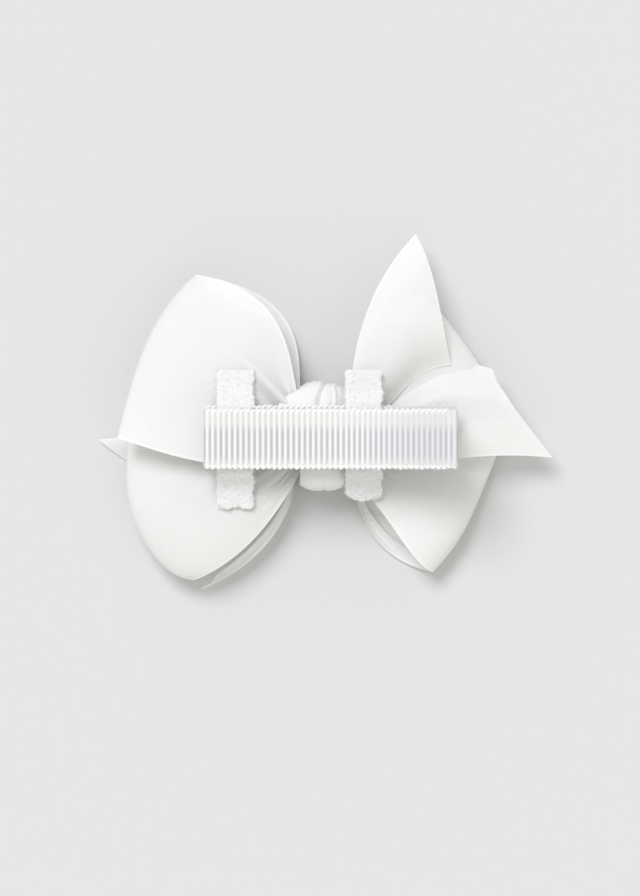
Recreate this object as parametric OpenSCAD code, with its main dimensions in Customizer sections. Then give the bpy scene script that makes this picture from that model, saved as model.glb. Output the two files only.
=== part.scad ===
/* [Bow] */
// Width of the bow across its two widest tail points, in mm
bow_w = 83.6; // [80:0.2:88]
// Height of the bow from its lowest to its highest tail point, in mm
bow_h = 65.5; // [63:0.5:69]
// Thickness of the solids that stand for one layer of ribbon, in mm
ribbon_t = 0.5; // [0.4:0.05:0.6]

/* [Knot] */
// Left side of the knot wrap, in mm
knot_left = -4.6; // [-4.8:0.1:-4.4]
// Right side of the knot wrap, in mm
knot_right = 3.7; // [3.5:0.1:3.9]
// Height of the knot wrap across the bow, in mm
knot_h = 20.2; // [19.8:0.1:20.8]
// Depth of the knot wrap from the bow's face to its back, in mm
knot_d = 12.4; // [12:0.1:12.8]

/* [Clip] */
// Length of each jaw, nose to tail, in mm
jaw_l = 44.8; // [44:0.2:46]
// Width of the fixed jaw's plate, in mm
jaw_w = 8.4; // [8:0.1:8.8]
// Thickness of the clip's sheet steel, in mm
steel_t = 0.6; // [0.5:0.05:0.7]
// Radius of the hinge pin, in mm
pin_r = 0.8; // [0.7:0.05:0.9]
// Radial clearance of the pin in the lever jaw's ears, in mm
pin_gap = 0.05; // [0.02:0.01:0.08]
// Upward slope of the lever jaw's thumb tab, in degrees
thumb_slope = 17; // [15:1:18]

/* [Trimmings] */
// Width of the grosgrain ribbon that lines the clip, in mm
grosgrain_w = 10.7; // [10:0.1:11]
// Thickness of the grosgrain ribbon, in mm
grosgrain_t = 0.4; // [0.3:0.05:0.45]
// Width of a felt tab, in mm
tab_w = 6.8; // [6:0.1:7]
// Thickness of a felt tab, in mm
tab_t = 0.6; // [0.5:0.05:0.65]

/* [Hidden] */

// The bow lies on its face. +Z points out of its back, +X along the clip to its thumb end.
stretch_x = bow_w / 83.6;
stretch_y = bow_h / 65.5;

// Knot: its middle, and the height of its lowest point above the surface it lies over
knot_y = -4.4;
knot_z = 2.2 + knot_d / 2;
wrap_t = 1.5;
hole_gap = 0.1;
core_inset = 1.2;
root_gap = 0.25;
root_left = knot_left + core_inset - root_gap;
root_right = knot_right - core_inset + root_gap;
upper_left_root = [root_left, -6, 0.5];
lower_left_root = [root_left, -9.5, -4];
upper_right_root = [root_right, -5, 0.5];
lower_right_root = [root_right, -9.5, -4];
root_half = ribbon_t + 0.1;

// Clip: levels of its layers, counted up from the bow's back
clip_y = -5;
bow_back = 15;
jaw_z = bow_back + grosgrain_t;
lining_z = jaw_z + steel_t;
tab_z = lining_z + grosgrain_t + 0.05;
lever_z = tab_z + tab_t + 0.35;
nose_x = -21.4;
tail_x = nose_x + jaw_l;
hinge_x = 12.4;
hinge_z = lining_z + 2.7;
ear_r = 1.9;
ear_t = 0.5;
ear_gap = 0.15;
lever_w = jaw_w - 2 * (ear_t + ear_gap);
corner_r = 2.2;
lining_inner_end = 9.9;
cover_under_start = 15.6;

// Grid of each ribbon solid: cells around or along it, and cells across it
ALONG = 20;
ACROSS = 10;

// ---- curves and surfaces ----

function mix(a, b, u) = a + (b - a) * u;
function bez2(p, u) = mix(mix(p[0], p[1], u), mix(p[1], p[2], u), u);
function bez3(p, u) = mix(bez2([p[0], p[1], p[2]], u), bez2([p[1], p[2], p[3]], u), u);
function fitted(p) = [p.x * stretch_x, p.y * stretch_y];
function unit(v) = v / norm(v);

// A patch has a root line at the knot, a low and a high edge, each with two guides and a
// corner, and a rim from the high corner to the low corner with two guides.
// root is [x, lowest y, highest y].
// s runs from the root to the rim, and t from the low edge to the high edge.
function patch(root, low, high, rim, s, t) =
    let (
        r0 = [root[0], root[1]],
        r1 = [root[0], root[2]],
        c0 = fitted(low[2]),
        c1 = fitted(high[2]),
        edge0 = bez3([r0, low[0], fitted(low[1]), c0], s),
        edge1 = bez3([r1, high[0], fitted(high[1]), c1], s),
        outer = bez3([c0, fitted(rim[1]), fitted(rim[0]), c1], t)
    )
    mix(edge0, edge1, t) + mix(mix(r0, r1, t), outer, s) - mix(mix(r0, r1, t), mix(c0, c1, t), s);

// A loop: [root, root z, back low edge, back high edge, front low edge, front high edge,
// rim, heights of the fold's middle from low to high edge, half depths from low to high edge].
// around runs from 0 at the back panel's root, past 90 at the fold, to 180 at the front's.
function loop_at(d, around, t) =
    let (
        s = sin(around),
        front = (1 - cos(around)) / 2,
        back_p = patch(d[0], d[2], d[3], d[6], s, t),
        front_p = patch(d[0], d[4], d[5], d[6], s, t),
        p = mix(back_p, front_p, front),
        middle = mix(d[1], bez2(d[7], t), s * (2 - s)),
        depth = root_half * cos(around) + bez2(d[8], t) * sin(2 * around)
    )
    [p.x, p.y, middle + depth];

// A tail: [root, root z, low edge, high edge, rim,
// 2 rows of heights from low to high edge, halfway out and at the rim].
function tail_at(d, s, t) =
    let (
        p = patch(d[0], d[2], d[3], d[4], s, t),
        row = [d[1], bez2(d[5], t), bez2(d[6], t)]
    )
    [p.x, p.y, bez2(row, s)];

function loop_normal(d, a, t) =
    let (
        a0 = max(a - 1, 0.5),
        a1 = min(a + 1, 179.5),
        t0 = max(t - 0.02, 0),
        t1 = min(t + 0.02, 1)
    )
    unit(cross(loop_at(d, a1, t) - loop_at(d, a0, t), loop_at(d, a, t1) - loop_at(d, a, t0)));

function tail_normal(d, s, t) =
    let (
        s0 = max(s - 0.02, 0),
        s1 = min(s + 0.02, 1),
        t0 = max(t - 0.02, 0),
        t1 = min(t + 0.02, 1)
    )
    unit(cross(tail_at(d, s1, t) - tail_at(d, s0, t), tail_at(d, s, t1) - tail_at(d, s, t0)));

// ---- closed solids from two grids of points ----

function quad(a, b, c, d) = [[a, b, c], [a, c, d]];
function joined(lists) = [for (l = lists) for (x = l) x];

// Faces of a sheet whose top grid is followed by its bottom grid, rows by columns of cells
function sheet_faces(rows, cols) =
    let (
        w = cols + 1,
        n = (rows + 1) * w,
        top = [for (i = [0 : rows - 1]) for (j = [0 : cols - 1])
            quad(i * w + j, i * w + j + 1, (i + 1) * w + j + 1, (i + 1) * w + j)],
        under = [for (i = [0 : rows - 1]) for (j = [0 : cols - 1])
            quad(n + i * w + j, n + (i + 1) * w + j, n + (i + 1) * w + j + 1, n + i * w + j + 1)],
        low = [for (i = [0 : rows - 1])
            quad(i * w, (i + 1) * w, n + (i + 1) * w, n + i * w)],
        high = [for (i = [0 : rows - 1])
            quad(i * w + cols, n + i * w + cols, n + (i + 1) * w + cols, (i + 1) * w + cols)],
        first = [for (j = [0 : cols - 1])
            quad(j, n + j, n + j + 1, j + 1)],
        last = [for (j = [0 : cols - 1])
            quad(rows * w + j, rows * w + j + 1, n + rows * w + j + 1, n + rows * w + j)]
    )
    joined(joined([top, under, low, high, first, last]));

function turned(faces, over) = over ? [for (f = faces) [f[0], f[2], f[1]]] : faces;

module loop_solid(d) {
    side = d[0][0] < 0 ? -1 : 1;
    grid = [for (i = [0 : ALONG]) for (j = [0 : ACROSS]) [180 * i / ALONG, j / ACROSS]];
    outside = [for (g = grid) loop_at(d, g[0], g[1])];
    inside = [for (g = grid)
        loop_at(d, g[0], g[1]) - side * ribbon_t * loop_normal(d, g[0], g[1])];
    polyhedron(concat(outside, inside), turned(sheet_faces(ALONG, ACROSS), side < 0));
}

module tail_solid(d) {
    side = d[0][0] < 0 ? -1 : 1;
    grid = [for (i = [0 : ALONG]) for (j = [0 : ACROSS]) [i / ALONG, j / ACROSS]];
    half = side * ribbon_t / 2;
    upper = [for (g = grid) tail_at(d, g[0], g[1]) + half * tail_normal(d, g[0], g[1])];
    lower = [for (g = grid) tail_at(d, g[0], g[1]) - half * tail_normal(d, g[0], g[1])];
    polyhedron(concat(upper, lower), turned(sheet_faces(ALONG, ACROSS), side < 0));
}

// ---- the ribbon's loops, each one panel out from the knot, a fold, and one panel back ----

module upper_left_loop() {
    low = [[-14, -13], [-27, -8.5], [-38.2, -4.6]];
    back_high = [[-7.4, 3.8], [-3.2, 21.6], [-23.9, 25.3]];
    front_high = [[-7.4, 3.8], [2.6, 22.2], [-23.9, 25.3]];
    rim = [[-31.8, 19], [-36.3, 4.8]];
    middle = [12.2, 9.2, 5.2];
    depth = [1.3, 4.2, 5.2];
    color("white")
        loop_solid([upper_left_root, 11.5, low, back_high, low, front_high, rim, middle, depth]);
}

module lower_left_loop() {
    low = [[-6, -13.5], [-12.8, -27.4], [-24.4, -30.7]];
    high = [[-13, -2.5], [-24, -3], [-36, -3]];
    rim = [[-38.4, -13.5], [-34.5, -30]];
    middle = [5.4, 7, 3.4];
    depth = [3, 4.8, 1];
    color("ghostwhite")
        loop_solid([lower_left_root, 8.2, low, high, low, high, rim, middle, depth]);
}

module upper_right_loop() {
    low = [[12, -6], [22, -1], [31, 3.6]];
    high = [[6, 4.5], [6.5, 20], [18, 21.4]];
    rim = [[23, 16.6], [28.8, 10]];
    middle = [6.7, 5.6, 4.2];
    depth = [1.1, 3.2, 4];
    color("snow")
        loop_solid([upper_right_root, 9.5, low, high, low, high, rim, middle, depth]);
}

module lower_right_loop() {
    back_low = [[7.5, -13.5], [14, -22.5], [19.9, -29.5]];
    front_low = [[5.9, -14], [7, -29.6], [19.9, -29.5]];
    high = [[13, -2], [24, -1.5], [33.2, -1.5]];
    rim = [[31.2, -12], [27, -22]];
    middle = [4.3, 5, 1.7];
    depth = [3.4, 4.4, 1];
    color("whitesmoke")
        loop_solid([lower_right_root, 6.6, back_low, high, front_low, high, rim, middle, depth]);
}

// ---- the ribbon's pointed tails ----

module upper_right_tail() {
    low = [[9.8, -5.3], [13.2, 7.8], [23.2, 8.6]];
    high = [[6.6, 3.4], [2.6, 17.6], [16.7, 32.8]];
    rim = [[20.5, 26], [21.3, 16]];
    halfway_z = [11.8, 15.2, 12.8];
    rim_z = [9.9, 12.9, 6.5];
    color("white") tail_solid([upper_right_root, 12.25, low, high, rim, halfway_z, rim_z]);
}

module right_tail() {
    low = [[12, -12], [24, -6.5], [41.8, -8.3]];
    high = [[9.5, -2.5], [16, 13.6], [30.8, 7.9]];
    rim = [[32, 3.6], [36.2, -1]];
    halfway_z = [13.2, 13.6, 10.4];
    rim_z = [6.2, 11.2, 8.2];
    color("ghostwhite") tail_solid([lower_right_root, 11, low, high, rim, halfway_z, rim_z]);
}

module left_tail() {
    low = [[-12, -9], [-22, -10.5], [-33, -11.6]];
    high = [[-13, -3], [-27, -3.6], [-41.8, -5.1]];
    rim = [[-38.9, -7.3], [-36, -9.4]];
    halfway_z = [0.5, 0.7, 0.9];
    rim_z = [0.3, 0.5, 1];
    color("snow") tail_solid([lower_left_root, 6.2, low, high, rim, halfway_z, rim_z]);
}

module lower_left_tail() {
    low = [[-6.2, -15], [-6.8, -26], [-22.9, -32.7]];
    high = [[-4.6, -13], [-9, -22.5], [-19.4, -29.6]];
    rim = [[-20.4, -30.7], [-21.6, -31.8]];
    halfway_z = [6.1, 6.3, 6.4];
    rim_z = [2.8, 3, 3.2];
    color("snow") tail_solid([lower_left_root, 4.55, low, high, rim, halfway_z, rim_z]);
}

// ---- the knot ----

// A point on a rounded box with half sizes a and b; a larger power is squarer
function rounded(a, b, power, angle) =
    let (c = cos(angle), s = sin(angle))
    [a * sign(c) * pow(abs(c), 2 / power), b * sign(s) * pow(abs(s), 2 / power)];

RING_STEPS = 48;
BOX_POWER = 3.2;
wrap_cells = 12;
edge_fall = 1.1;
crease = [0.53, 0.06, 0.5];
wrap_profile = [for (i = [0 : wrap_cells])
    let (u = i / wrap_cells)
    [mix(knot_left, knot_right, u), wrap_t - edge_fall * pow(abs(2 * u - 1), 3)
        - crease[2] * exp(-pow((u - crease[0]) / crease[1], 2))]];

// A tube of rounded box section about an axis along X, from its outside profile [x, height]
module wrap_ring(profile, half_y, half_z) {
    n = len(profile);
    ends = [[profile[n - 1].x, 0], [profile[0].x, 0]];
    section = concat(profile, ends);
    m = n + 2;
    points = [for (k = [0 : RING_STEPS - 1]) for (q = section)
        let (p = rounded(half_y + q[1], half_z + q[1], BOX_POWER, k * 360 / RING_STEPS))
        [q[0], knot_y + p.x, knot_z + p.y]];
    faces = joined([for (k = [0 : RING_STEPS - 1]) for (i = [0 : m - 1])
        let (k1 = (k + 1) % RING_STEPS, i1 = (i + 1) % m)
        quad(k * m + i, k * m + i1, k1 * m + i1, k1 * m + i)]);
    polyhedron(points, faces);
}

module rounded_bar(x0, x1, half_y, half_z) {
    outline = [for (k = [0 : RING_STEPS - 1])
        rounded(half_y, half_z, BOX_POWER, k * 360 / RING_STEPS)];
    translate([x0, knot_y, knot_z])
        rotate([90, 0, 90])
            linear_extrude(x1 - x0)
                polygon(outline);
}

// Half height and half depth of the hole through the wrap, and the core's waist and its thread
hole_y = knot_h / 2 - wrap_t;
hole_z = knot_d / 2 - wrap_t;
waist = 0.7;
thread_x0 = -1.3;
thread_r = 0.28;
thread_turns = 3;
thread_pinch = 0.96;
glue_r = 4.4;
glue_size = [6, 8];

module knot_wrap() {
    color("white") wrap_ring(wrap_profile, hole_y, hole_z);
}

module gathered_core() {
    x0 = knot_left + core_inset;
    x1 = knot_right - core_inset;
    gap = 0.05;
    waist_x0 = thread_x0 - gap;
    waist_x1 = thread_x0 + 2 * thread_r * thread_turns + gap;
    color("whitesmoke") {
        rounded_bar(x0, waist_x0, hole_y - hole_gap, hole_z - hole_gap);
        rounded_bar(waist_x0, waist_x1, hole_y - waist, hole_z - waist);
        rounded_bar(waist_x1, x1, hole_y - hole_gap, hole_z - hole_gap);
    }
}

module gathering_thread() {
    off_core = 0.02;
    round_profile = [for (a = [0 : 45 : 180])
        [thread_pinch * thread_r * (1 - cos(a)), 2 * thread_r * sin(a)]];
    color("linen")
        for (k = [0 : thread_turns - 1]) {
            turn = [for (q = round_profile) [thread_x0 + 2 * thread_r * k + q[0], q[1]]];
            wrap_ring(turn, hole_y - waist + off_core, hole_z - waist + off_core);
        }
}

module glue_pad() {
    h = bow_back - knot_z - knot_d / 2;
    color("ivory")
        translate([(knot_left + knot_right) / 2, clip_y, knot_z + knot_d / 2])
            linear_extrude(h)
                intersection() {
                    circle(glue_r, $fn = 48);
                    square(glue_size, center = true);
                }
}

// ---- the clip ----

// Middle line of the lever's plate: curled nose, flat pad, then a smooth rise to the thumb tab
lever_mid = lever_z + steel_t / 2;
rise_start = -6;
rise_end = 6;
rise_r = (rise_end - rise_start) / sin(thumb_slope);
nose_curl = 2.6;
nose_drop = 0.45;
function rise(a) = [rise_start + rise_r * sin(a), lever_mid + rise_r * (1 - cos(a))];
lever_path = concat(
    [for (u = [0 : 0.25 : 0.75]) [nose_x + nose_curl * u, lever_mid - nose_drop * pow(1 - u, 2)]],
    [[nose_x + nose_curl, lever_mid]],
    [for (a = [0 : thumb_slope / 6 : thumb_slope]) rise(a)],
    [rise(thumb_slope) + (tail_x - rise_end) * [1, tan(thumb_slope)]]);

// The strip between two offsets from a path, as an outline in X and Z
function side_of(path, i) =
    let (
        a = path[max(i - 1, 0)],
        b = path[min(i + 1, len(path) - 1)],
        d = unit(b - a)
    )
    [-d.y, d.x];
function strip(path, d0, d1) = concat(
    [for (i = [0 : len(path) - 1]) path[i] + d0 * side_of(path, i)],
    [for (i = [len(path) - 1 : -1 : 0]) path[i] + d1 * side_of(path, i)]);

// An outline in X and Z made into a solid of width w about the clip's middle
module along_clip(w) {
    translate([0, clip_y + w / 2, 0])
        rotate([90, 0, 0])
            linear_extrude(w)
                children();
}

// Rounds the nose and tail corners of a plate, seen from above
module plate_plan(w) {
    r = corner_r;
    translate([0, clip_y, -1])
        linear_extrude(60)
            union() {
                translate([nose_x + r, -w / 2])
                    square([tail_x - nose_x - 2 * r, w]);
                for (x = [nose_x + r, tail_x - r])
                    for (y = [-1, 1])
                        translate([x, y * (w / 2 - r)])
                            circle(r, $fn = 48);
                translate([nose_x, -w / 2 + r])
                    square([tail_x - nose_x, w - 2 * r]);
            }
}

// A hinge ear: a round eye about the pin and a web down or up to its plate
module ear(y0, web_z0, web_z1) {
    translate([0, y0 + ear_t, 0])
        rotate([90, 0, 0])
            linear_extrude(ear_t) {
                translate([hinge_x, hinge_z])
                    circle(ear_r, $fn = 64);
                translate([hinge_x - ear_r, web_z0])
                    square([2 * ear_r, web_z1 - web_z0]);
            }
}

module pin_bore(r) {
    translate([hinge_x, clip_y + 10, hinge_z])
        rotate([90, 0, 0])
            cylinder(r = r, h = 20, $fn = 64);
}

module fixed_jaw() {
    color("silver")
        difference() {
            union() {
                intersection() {
                    translate([nose_x, clip_y - jaw_w / 2, jaw_z])
                        cube([jaw_l, jaw_w, steel_t]);
                    plate_plan(jaw_w);
                }
                for (y0 = [clip_y - jaw_w / 2, clip_y + jaw_w / 2 - ear_t])
                    ear(y0, jaw_z + steel_t / 2, hinge_z);
            }
            pin_bore(pin_r);
        }
}

module lever_jaw() {
    plate_over_hinge = rise(thumb_slope).y + (hinge_x - rise_end) * tan(thumb_slope);
    color("silver")
        difference() {
            union() {
                intersection() {
                    along_clip(lever_w)
                        polygon(strip(lever_path, -steel_t / 2, steel_t / 2));
                    plate_plan(lever_w);
                }
                for (y0 = [clip_y - lever_w / 2, clip_y + lever_w / 2 - ear_t])
                    ear(y0, hinge_z, plate_over_hinge - ear_r * tan(thumb_slope));
            }
            pin_bore(pin_r + pin_gap);
        }
}

module hinge_pin() {
    w = jaw_w + 0.4;
    color("gray")
        translate([hinge_x, clip_y + w / 2, hinge_z])
            rotate([90, 0, 0])
                cylinder(r = pin_r, h = w, $fn = 64);
}

// A hairpin leaf: its bend goes round the pin, its legs push the jaws' tails apart
module leaf_spring() {
    leaf_t = 0.3;
    bend_r = pin_r + 0.75;
    leg_x = 20;
    under_lever = 0.8;
    upper_z = rise(thumb_slope).y - steel_t / 2 / cos(thumb_slope)
        + (leg_x - rise_end) * tan(thumb_slope) - under_lever;
    lower_z = lining_z + leaf_t / 2 + 0.05;
    low_a = 250;
    high_a = 108;
    bend = [for (a = [high_a : (low_a - high_a) / 14 : low_a + 0.1])
        [hinge_x + bend_r * cos(a), hinge_z + bend_r * sin(a)]];
    path = concat([[leg_x, upper_z]], bend, [[hinge_x + 2.4, lower_z], [leg_x, lower_z]]);
    color("dimgray")
        along_clip(4)
            polygon(strip(path, -leaf_t / 2, leaf_t / 2));
}

// Grosgrain on the fixed jaw: under its whole length, round its nose, and back over its inside
module fixed_jaw_lining() {
    gap = 0.02;
    g = grosgrain_t - gap;
    color("white")
        along_clip(grosgrain_w) {
            translate([nose_x - gap, bow_back])
                square([jaw_l + 0.8, g]);
            translate([nose_x - gap - g, bow_back])
                square([g, 2 * grosgrain_t + steel_t]);
            translate([nose_x - gap, lining_z + gap])
                square([lining_inner_end - nose_x + gap, g]);
        }
}

// Grosgrain on the lever jaw: along its outside, folded round its nose and its thumb tab
module lever_cover() {
    gap = 0.02;
    near = steel_t / 2 + gap;
    far = steel_t / 2 + grosgrain_t;
    thumb_dir = [cos(thumb_slope), sin(thumb_slope)];
    tip = lever_path[len(lever_path) - 1];
    tip_fold = 0.5;
    tip_in = tip + gap * thumb_dir;
    tip_out = tip + (gap + tip_fold) * thumb_dir;
    under_start = tip - (tail_x - cover_under_start) * [1, tan(thumb_slope)];
    nose_dir = unit(lever_path[1] - lever_path[0]);
    nose_in = lever_path[0] - gap * nose_dir;
    nose_out = lever_path[0] - (gap + grosgrain_t) * nose_dir;
    color("white")
        along_clip(grosgrain_w) {
            polygon(strip(concat([nose_out], lever_path, [tip_out]), near, far));
            polygon(strip([tip_in, tip_out], -far, far));
            polygon(strip([under_start, tip_out], -far, -near));
            polygon(strip([nose_out, nose_in], -near, far));
        }
}

// ---- felt tabs, laid over the fixed jaw and glued to the loops on both sides of it ----

module felt_tab(x0, top_y, top_z, low_y, low_z) {
    mid_z = tab_z + tab_t / 2;
    edge = grosgrain_w / 2 + 0.5;
    top_bend = [clip_y + edge + 2.4, top_z + 0.35];
    low_bend = [clip_y - edge - 2.2, low_z + 1.5];
    path = [[top_y, top_z], top_bend, [clip_y + edge, mid_z],
            [clip_y - edge, mid_z], low_bend, [low_y, low_z]];
    translate([x0, 0, 0])
        rotate([90, 0, 90])
            linear_extrude(tab_w)
                polygon(strip(path, -tab_t / 2, tab_t / 2));
}

module left_felt_tab() {
    color("whitesmoke") felt_tab(x0 = -19.8, top_y = 7.7, top_z = 14, low_y = -17.6, low_z = 10.8);
}

module right_felt_tab() {
    color("whitesmoke") felt_tab(x0 = 3.7, top_y = 7.7, top_z = 14, low_y = -16.1, low_z = 9.8);
}

upper_left_loop();
lower_left_loop();
upper_right_loop();
lower_right_loop();
upper_right_tail();
right_tail();
left_tail();
lower_left_tail();
gathered_core();
gathering_thread();
knot_wrap();
glue_pad();
fixed_jaw();
fixed_jaw_lining();
lever_jaw();
lever_cover();
hinge_pin();
leaf_spring();
left_felt_tab();
right_felt_tab();
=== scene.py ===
import math

import bpy
import numpy as np
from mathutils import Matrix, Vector


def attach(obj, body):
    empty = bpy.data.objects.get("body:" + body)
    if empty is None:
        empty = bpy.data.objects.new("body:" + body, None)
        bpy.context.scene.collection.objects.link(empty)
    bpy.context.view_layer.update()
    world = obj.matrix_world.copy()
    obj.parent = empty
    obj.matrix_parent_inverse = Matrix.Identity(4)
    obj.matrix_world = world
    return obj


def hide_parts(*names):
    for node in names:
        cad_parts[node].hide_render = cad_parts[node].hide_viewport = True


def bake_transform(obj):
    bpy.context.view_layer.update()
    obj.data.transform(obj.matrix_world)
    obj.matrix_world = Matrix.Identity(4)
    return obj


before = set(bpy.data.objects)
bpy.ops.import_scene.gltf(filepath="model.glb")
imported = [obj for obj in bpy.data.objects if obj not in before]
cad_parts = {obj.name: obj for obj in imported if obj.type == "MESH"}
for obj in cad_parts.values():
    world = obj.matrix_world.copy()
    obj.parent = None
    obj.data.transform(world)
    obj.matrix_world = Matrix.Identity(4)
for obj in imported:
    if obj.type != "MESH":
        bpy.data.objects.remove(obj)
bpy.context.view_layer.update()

# A white organza hair bow, lying on its face, with its ribbon-lined clip on its back.
# Shapes are worked out in millimetres, in the frame of the CAD model, and MM turns them
# into metres where a mesh is made.
MM = 0.001

# Places of the knot, of the ribbon's roots in it, and of the clip's layers, as in the CAD model
KNOT_LEFT, KNOT_RIGHT = -4.6, 3.7
KNOT_Y, KNOT_Z = -4.4, 8.4
KNOT_H, KNOT_D = 20.2, 12.4
WRAP_T = 1.5
ROOT_LEFT, ROOT_RIGHT = -3.65, 2.75
ROOT_HALF = 0.6
UPPER_LEFT_ROOT = (ROOT_LEFT, -6.0, 0.5)
LOWER_LEFT_ROOT = (ROOT_LEFT, -9.5, -4.0)
UPPER_RIGHT_ROOT = (ROOT_RIGHT, -5.0, 0.5)
LOWER_RIGHT_ROOT = (ROOT_RIGHT, -9.5, -4.0)
CLIP_Y = -5.0
BACK_Z = 15.0
STEEL_T = 0.6
GROSGRAIN_W, GROSGRAIN_T = 10.7, 0.4
LINING_Z = BACK_Z + GROSGRAIN_T + STEEL_T
LAYER_GAP, COVER_GAP = 0.05, 0.35
TAB_Z = LINING_Z + GROSGRAIN_T + LAYER_GAP
TAB_T, TAB_W = 0.6, 6.8
LEVER_MID = TAB_Z + TAB_T + COVER_GAP + STEEL_T / 2
NOSE_X, TAIL_X = -21.4, 23.4
RISE_START, RISE_END, THUMB_SLOPE = -6.0, 6.0, math.radians(17)
HINGE = (12.4, LINING_Z + 2.7)
PIN_R = 0.8
RIBBON_W = 38.0


# ---- curves and surfaces ----

def mix(a, b, u):
    return a + (b - a) * u


def bez2(p, u):
    return mix(mix(p[0], p[1], u), mix(p[1], p[2], u), u)


def bez3(p, u):
    return mix(bez2((p[0], p[1], p[2]), u), bez2((p[1], p[2], p[3]), u), u)


def smooth_step(x, low, high):
    u = np.clip((x - low) / (high - low), 0, 1)
    return u * u * (3 - 2 * u)


def patch(root, low, high, rim, s, t):
    """A panel in plan: s runs from its root line to its rim, t from its low edge to its high one."""
    s, t = s[..., None], t[..., None]
    low, high, rim = (np.array(x, float) for x in (low, high, rim))
    r0, r1 = np.array([root[0], root[1]]), np.array([root[0], root[2]])
    edge0 = bez3((r0, low[0], low[1], low[2]), s)
    edge1 = bez3((r1, high[0], high[1], high[2]), s)
    outer = bez3((low[2], rim[1], rim[0], high[2]), t)
    flat = mix(mix(r0, r1, t), mix(low[2], high[2], t), s)
    return mix(edge0, edge1, t) + mix(mix(r0, r1, t), outer, s) - flat


def folds_at(folds, s, t, wide):
    """Height of the soft folds that run out from the knot. wide is the cloth's width there.
    A fold is (where across at the knot, where across at its end, half width, height, reach)."""
    lift = np.zeros_like(s)
    for at_knot, at_end, half_width, height, reach in folds:
        out = np.clip(s / reach, 0, 1)
        fade = (1 - out ** 2) ** 1.5 * smooth_step(s, 0.0, 0.1)
        off = (t - mix(at_knot, at_end, out)) * wide / (half_width * (0.8 + 0.8 * out))
        lift = lift + height * fade * np.exp(-off ** 2)
    return lift


def row_widths(p):
    """The cloth's width along each row of a grid, for every point of the row."""
    steps = np.linalg.norm(np.diff(p, axis=1), axis=2)
    return np.repeat(steps.sum(axis=1)[:, None], p.shape[1], axis=1)


def pleats_at(count, phase, depth, reach, s, t):
    """Close pleats where the ribbon is gathered at the knot, fading out along the panel."""
    wander = t + 0.02 * np.sin(9 * t + 3 * phase) + 0.012 * np.sin(21 * t + phase)
    fade = np.clip(1 - s / reach, 0, 1) ** 1.2 * (0.35 + 0.65 * smooth_step(s, 0, 0.12))
    return depth * fade * np.sin(2 * math.pi * count * wander + phase)


def ripples_at(amount, phase, s, t):
    """The faint broad waves of a crisp sheer ribbon."""
    return amount * s * (
        np.sin(5.1 * t + 3.7 * s + phase) * np.sin(7.3 * s - 2.1 * t + 1.7 * phase)
        + 0.5 * np.sin(11.0 * t - 6.0 * s + 2.3 * phase) * np.sin(9.0 * s + phase))


def surface_normals(p):
    du = np.gradient(p, axis=0)
    dv = np.gradient(p, axis=1)
    n = np.cross(du, dv)
    return n / np.maximum(np.linalg.norm(n, axis=-1, keepdims=True), 1e-9)


# ---- meshes ----

def new_object(name, points, faces, material, uv=None, smooth=True):
    """An object from points in millimetres. uv holds one pair for each point, in millimetres."""
    mesh = bpy.data.meshes.new(name)
    mesh.from_pydata((np.asarray(points, float) * MM).tolist(), [], faces)
    if uv is not None:
        layer = mesh.uv_layers.new(name="ribbon")
        loops = np.empty(len(mesh.loops), int)
        mesh.loops.foreach_get("vertex_index", loops)
        layer.data.foreach_set("uv", np.asarray(uv, float)[loops].ravel())
    mesh.polygons.foreach_set("use_smooth", [smooth] * len(mesh.polygons))
    for m in material if isinstance(material, (list, tuple)) else [material]:
        mesh.materials.append(m)
    mesh.update()
    obj = bpy.data.objects.new(name, mesh)
    bpy.context.scene.collection.objects.link(obj)
    return obj


def grid_faces(rows, cols, close_rows=False, close_cols=False):
    """Quads of a grid of rows by cols points."""
    faces = []
    for i in range(rows if close_rows else rows - 1):
        k = (i + 1) % rows
        for j in range(cols if close_cols else cols - 1):
            m = (j + 1) % cols
            faces.append((i * cols + j, i * cols + m, k * cols + m, k * cols + j))
    return faces


def grid_object(name, points, material, uv=None, close_rows=False, close_cols=False):
    rows, cols = points.shape[:2]
    return new_object(name, points.reshape(-1, 3),
                      grid_faces(rows, cols, close_rows, close_cols), material,
                      None if uv is None else uv.reshape(-1, 2))


def frames_along(line):
    """Unit tangents of a line of points, and two unit vectors across each."""
    tangent = np.gradient(line, axis=0)
    tangent /= np.maximum(np.linalg.norm(tangent, axis=1, keepdims=True), 1e-9)
    side = np.zeros_like(line)
    last = np.array([0.31, 0.17, 0.94])
    for i, t in enumerate(tangent):
        last = last - t * (last @ t)
        last = last / max(np.linalg.norm(last), 1e-9)
        side[i] = last
    return tangent, side, np.cross(tangent, side)


def tube_points(line, radius, sides):
    """Rings round a line; radius is one number or one for each point."""
    _, a, b = frames_along(line)
    r = np.broadcast_to(np.asarray(radius, float), (len(line),))[:, None, None]
    ang = np.linspace(0, 2 * math.pi, sides, endpoint=False)
    return line[:, None, :] + r * (np.cos(ang)[None, :, None] * a[:, None, :]
                                   + np.sin(ang)[None, :, None] * b[:, None, :])


def merged(parts):
    """Points and faces of several (points, faces) as one list each."""
    points, faces, n = [], [], 0
    for p, f in parts:
        points.append(p.reshape(-1, 3))
        faces += [tuple(n + k for k in face) for face in f]
        n += len(points[-1])
    return np.concatenate(points), faces


# ---- node materials ----

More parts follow.
